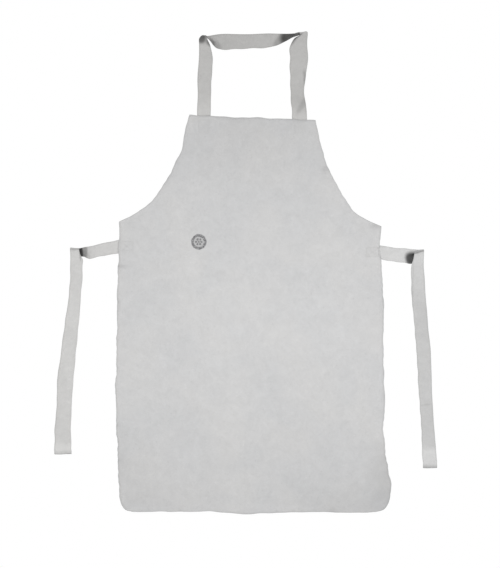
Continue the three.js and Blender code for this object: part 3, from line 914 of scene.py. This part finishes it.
panel = make_panel()
panel.data.materials.append(PANEL_LEATHER)
neck_strap = make_neck_strap()
left_tie = make_tie(
    "left", LEFT_ARM, LEFT_TAIL, seed=61, lane=2, arm_pockets=LEFT_ARM_POCKETS,
    tail_pockets=LEFT_TAIL_POCKETS, warm=0.7, tones=(0.965, 0.99))
right_tie = make_tie(
    "right", RIGHT_ARM, RIGHT_TAIL, seed=81, lane=5, arm_pockets=RIGHT_ARM_POCKETS,
    tail_pockets=RIGHT_TAIL_POCKETS, warm=0.1, tones=(1.03, 0.89))
for strap in (neck_strap, *left_tie, *right_tie):
    strap.data.materials.append(STRAP_LEATHER)
for seam in ("neck_left_seam", "neck_right_seam", "left_tie_seam", "right_tie_seam"):
    make_box_seam(seam)
make_tip_seam("left", LEFT_TAIL)
make_tip_seam("right", RIGHT_TAIL)

# ---------------------------------------------------------------- floor, light and camera

FLOOR_DROP = 0.36                # the floor lies this far under the hem
FLOOR_RADIUS = 1.0
FRONT_LIGHT, BACK_LIGHT = 5.2, 6.0   # watts


def make_floor():
    """A round pale floor: rings of points out from a small middle one."""
    angle = np.linspace(0, 2 * np.pi, 97)[:-1]
    radius = np.array([0.02, 0.4, 0.8, FLOOR_RADIUS])
    x, y = radius[:, None] * np.cos(angle), radius[:, None] * np.sin(angle)
    z = np.full_like(x, CAD_BOX[0][2] - FLOOR_DROP)
    points = np.stack([x, y, z], -1).reshape(-1, 3)
    index = np.arange(len(points)).reshape(len(radius), -1)
    ahead = np.roll(index, -1, axis=1)
    faces = np.stack([index[:-1], index[1:], ahead[1:], ahead[:-1]], -1).reshape(-1, 4)
    mesh = bpy.data.meshes.new("floor")
    mesh.from_pydata(points.tolist(), [], faces.tolist() + [index[0].tolist()])
    floor = bpy.data.objects.new("floor", mesh)
    bpy.context.scene.collection.objects.link(floor)
    material = bpy.data.materials.new("floor_white")
    material.use_nodes = True
    shader = material.node_tree.nodes["Principled BSDF"]
    shader.inputs["Base Color"].default_value = (0.92, 0.92, 0.92, 1)
    shader.inputs["Roughness"].default_value = 0.9
    floor.data.materials.append(material)


def add_lamp(name, size, energy, place, aim):
    """A round soft lamp that the camera doesn't see."""
    lamp = bpy.data.lights.new(name, "AREA")
    lamp.shape = "DISK"
    lamp.size = size
    lamp.energy = energy
    lamp_object = bpy.data.objects.new(name, lamp)
    lamp_object.location = place
    lamp_object.rotation_euler = Vector(np.subtract(aim, place)).to_track_quat("-Z", "Y").to_euler()
    lamp_object.visible_camera = False
    bpy.context.scene.collection.objects.link(lamp_object)


def make_light():
    """A white room, with a round soft light close in front, so that the middle is a little
    lighter than the bib and the hem, and one like it behind."""
    world = bpy.data.worlds.new("studio")
    bpy.context.scene.world = world
    world.use_nodes = True
    world.node_tree.nodes["Background"].inputs["Color"].default_value = (1, 1, 1, 1)
    world.node_tree.nodes["Background"].inputs["Strength"].default_value = 1.0
    middle = (0.05, 0.0, DATUM[2] - 0.52)
    add_lamp("front_light", 0.7, FRONT_LIGHT, (0.10, -1.15, DATUM[2] - 0.50), middle)
    add_lamp("back_light", 1.0, BACK_LIGHT, (-0.3, 1.5, DATUM[2] - 0.35), middle)
    bpy.context.scene.view_settings.view_transform = "Standard"


CAMERA_DISTANCE = 3.2            # metres in front of the panel
VIEW_HEIGHT = 1.294              # metres that the frame takes in at the panel
VIEW_MIDDLE = (-1.8, 0.0, -382.9)


def make_camera():
    """Square on from the front, far enough back for the sides to look parallel."""
    camera = bpy.data.objects.new("camera", bpy.data.cameras.new("camera"))
    camera.data.sensor_width = 36
    camera.data.lens = 36 * CAMERA_DISTANCE / VIEW_HEIGHT
    aim = placed(VIEW_MIDDLE)
    camera.location = (aim[0], aim[1] - CAMERA_DISTANCE, aim[2])
    camera.rotation_euler = (np.pi / 2, 0, 0)
    bpy.context.scene.collection.objects.link(camera)
    bpy.context.scene.camera = camera


make_floor()
make_light()
make_camera()
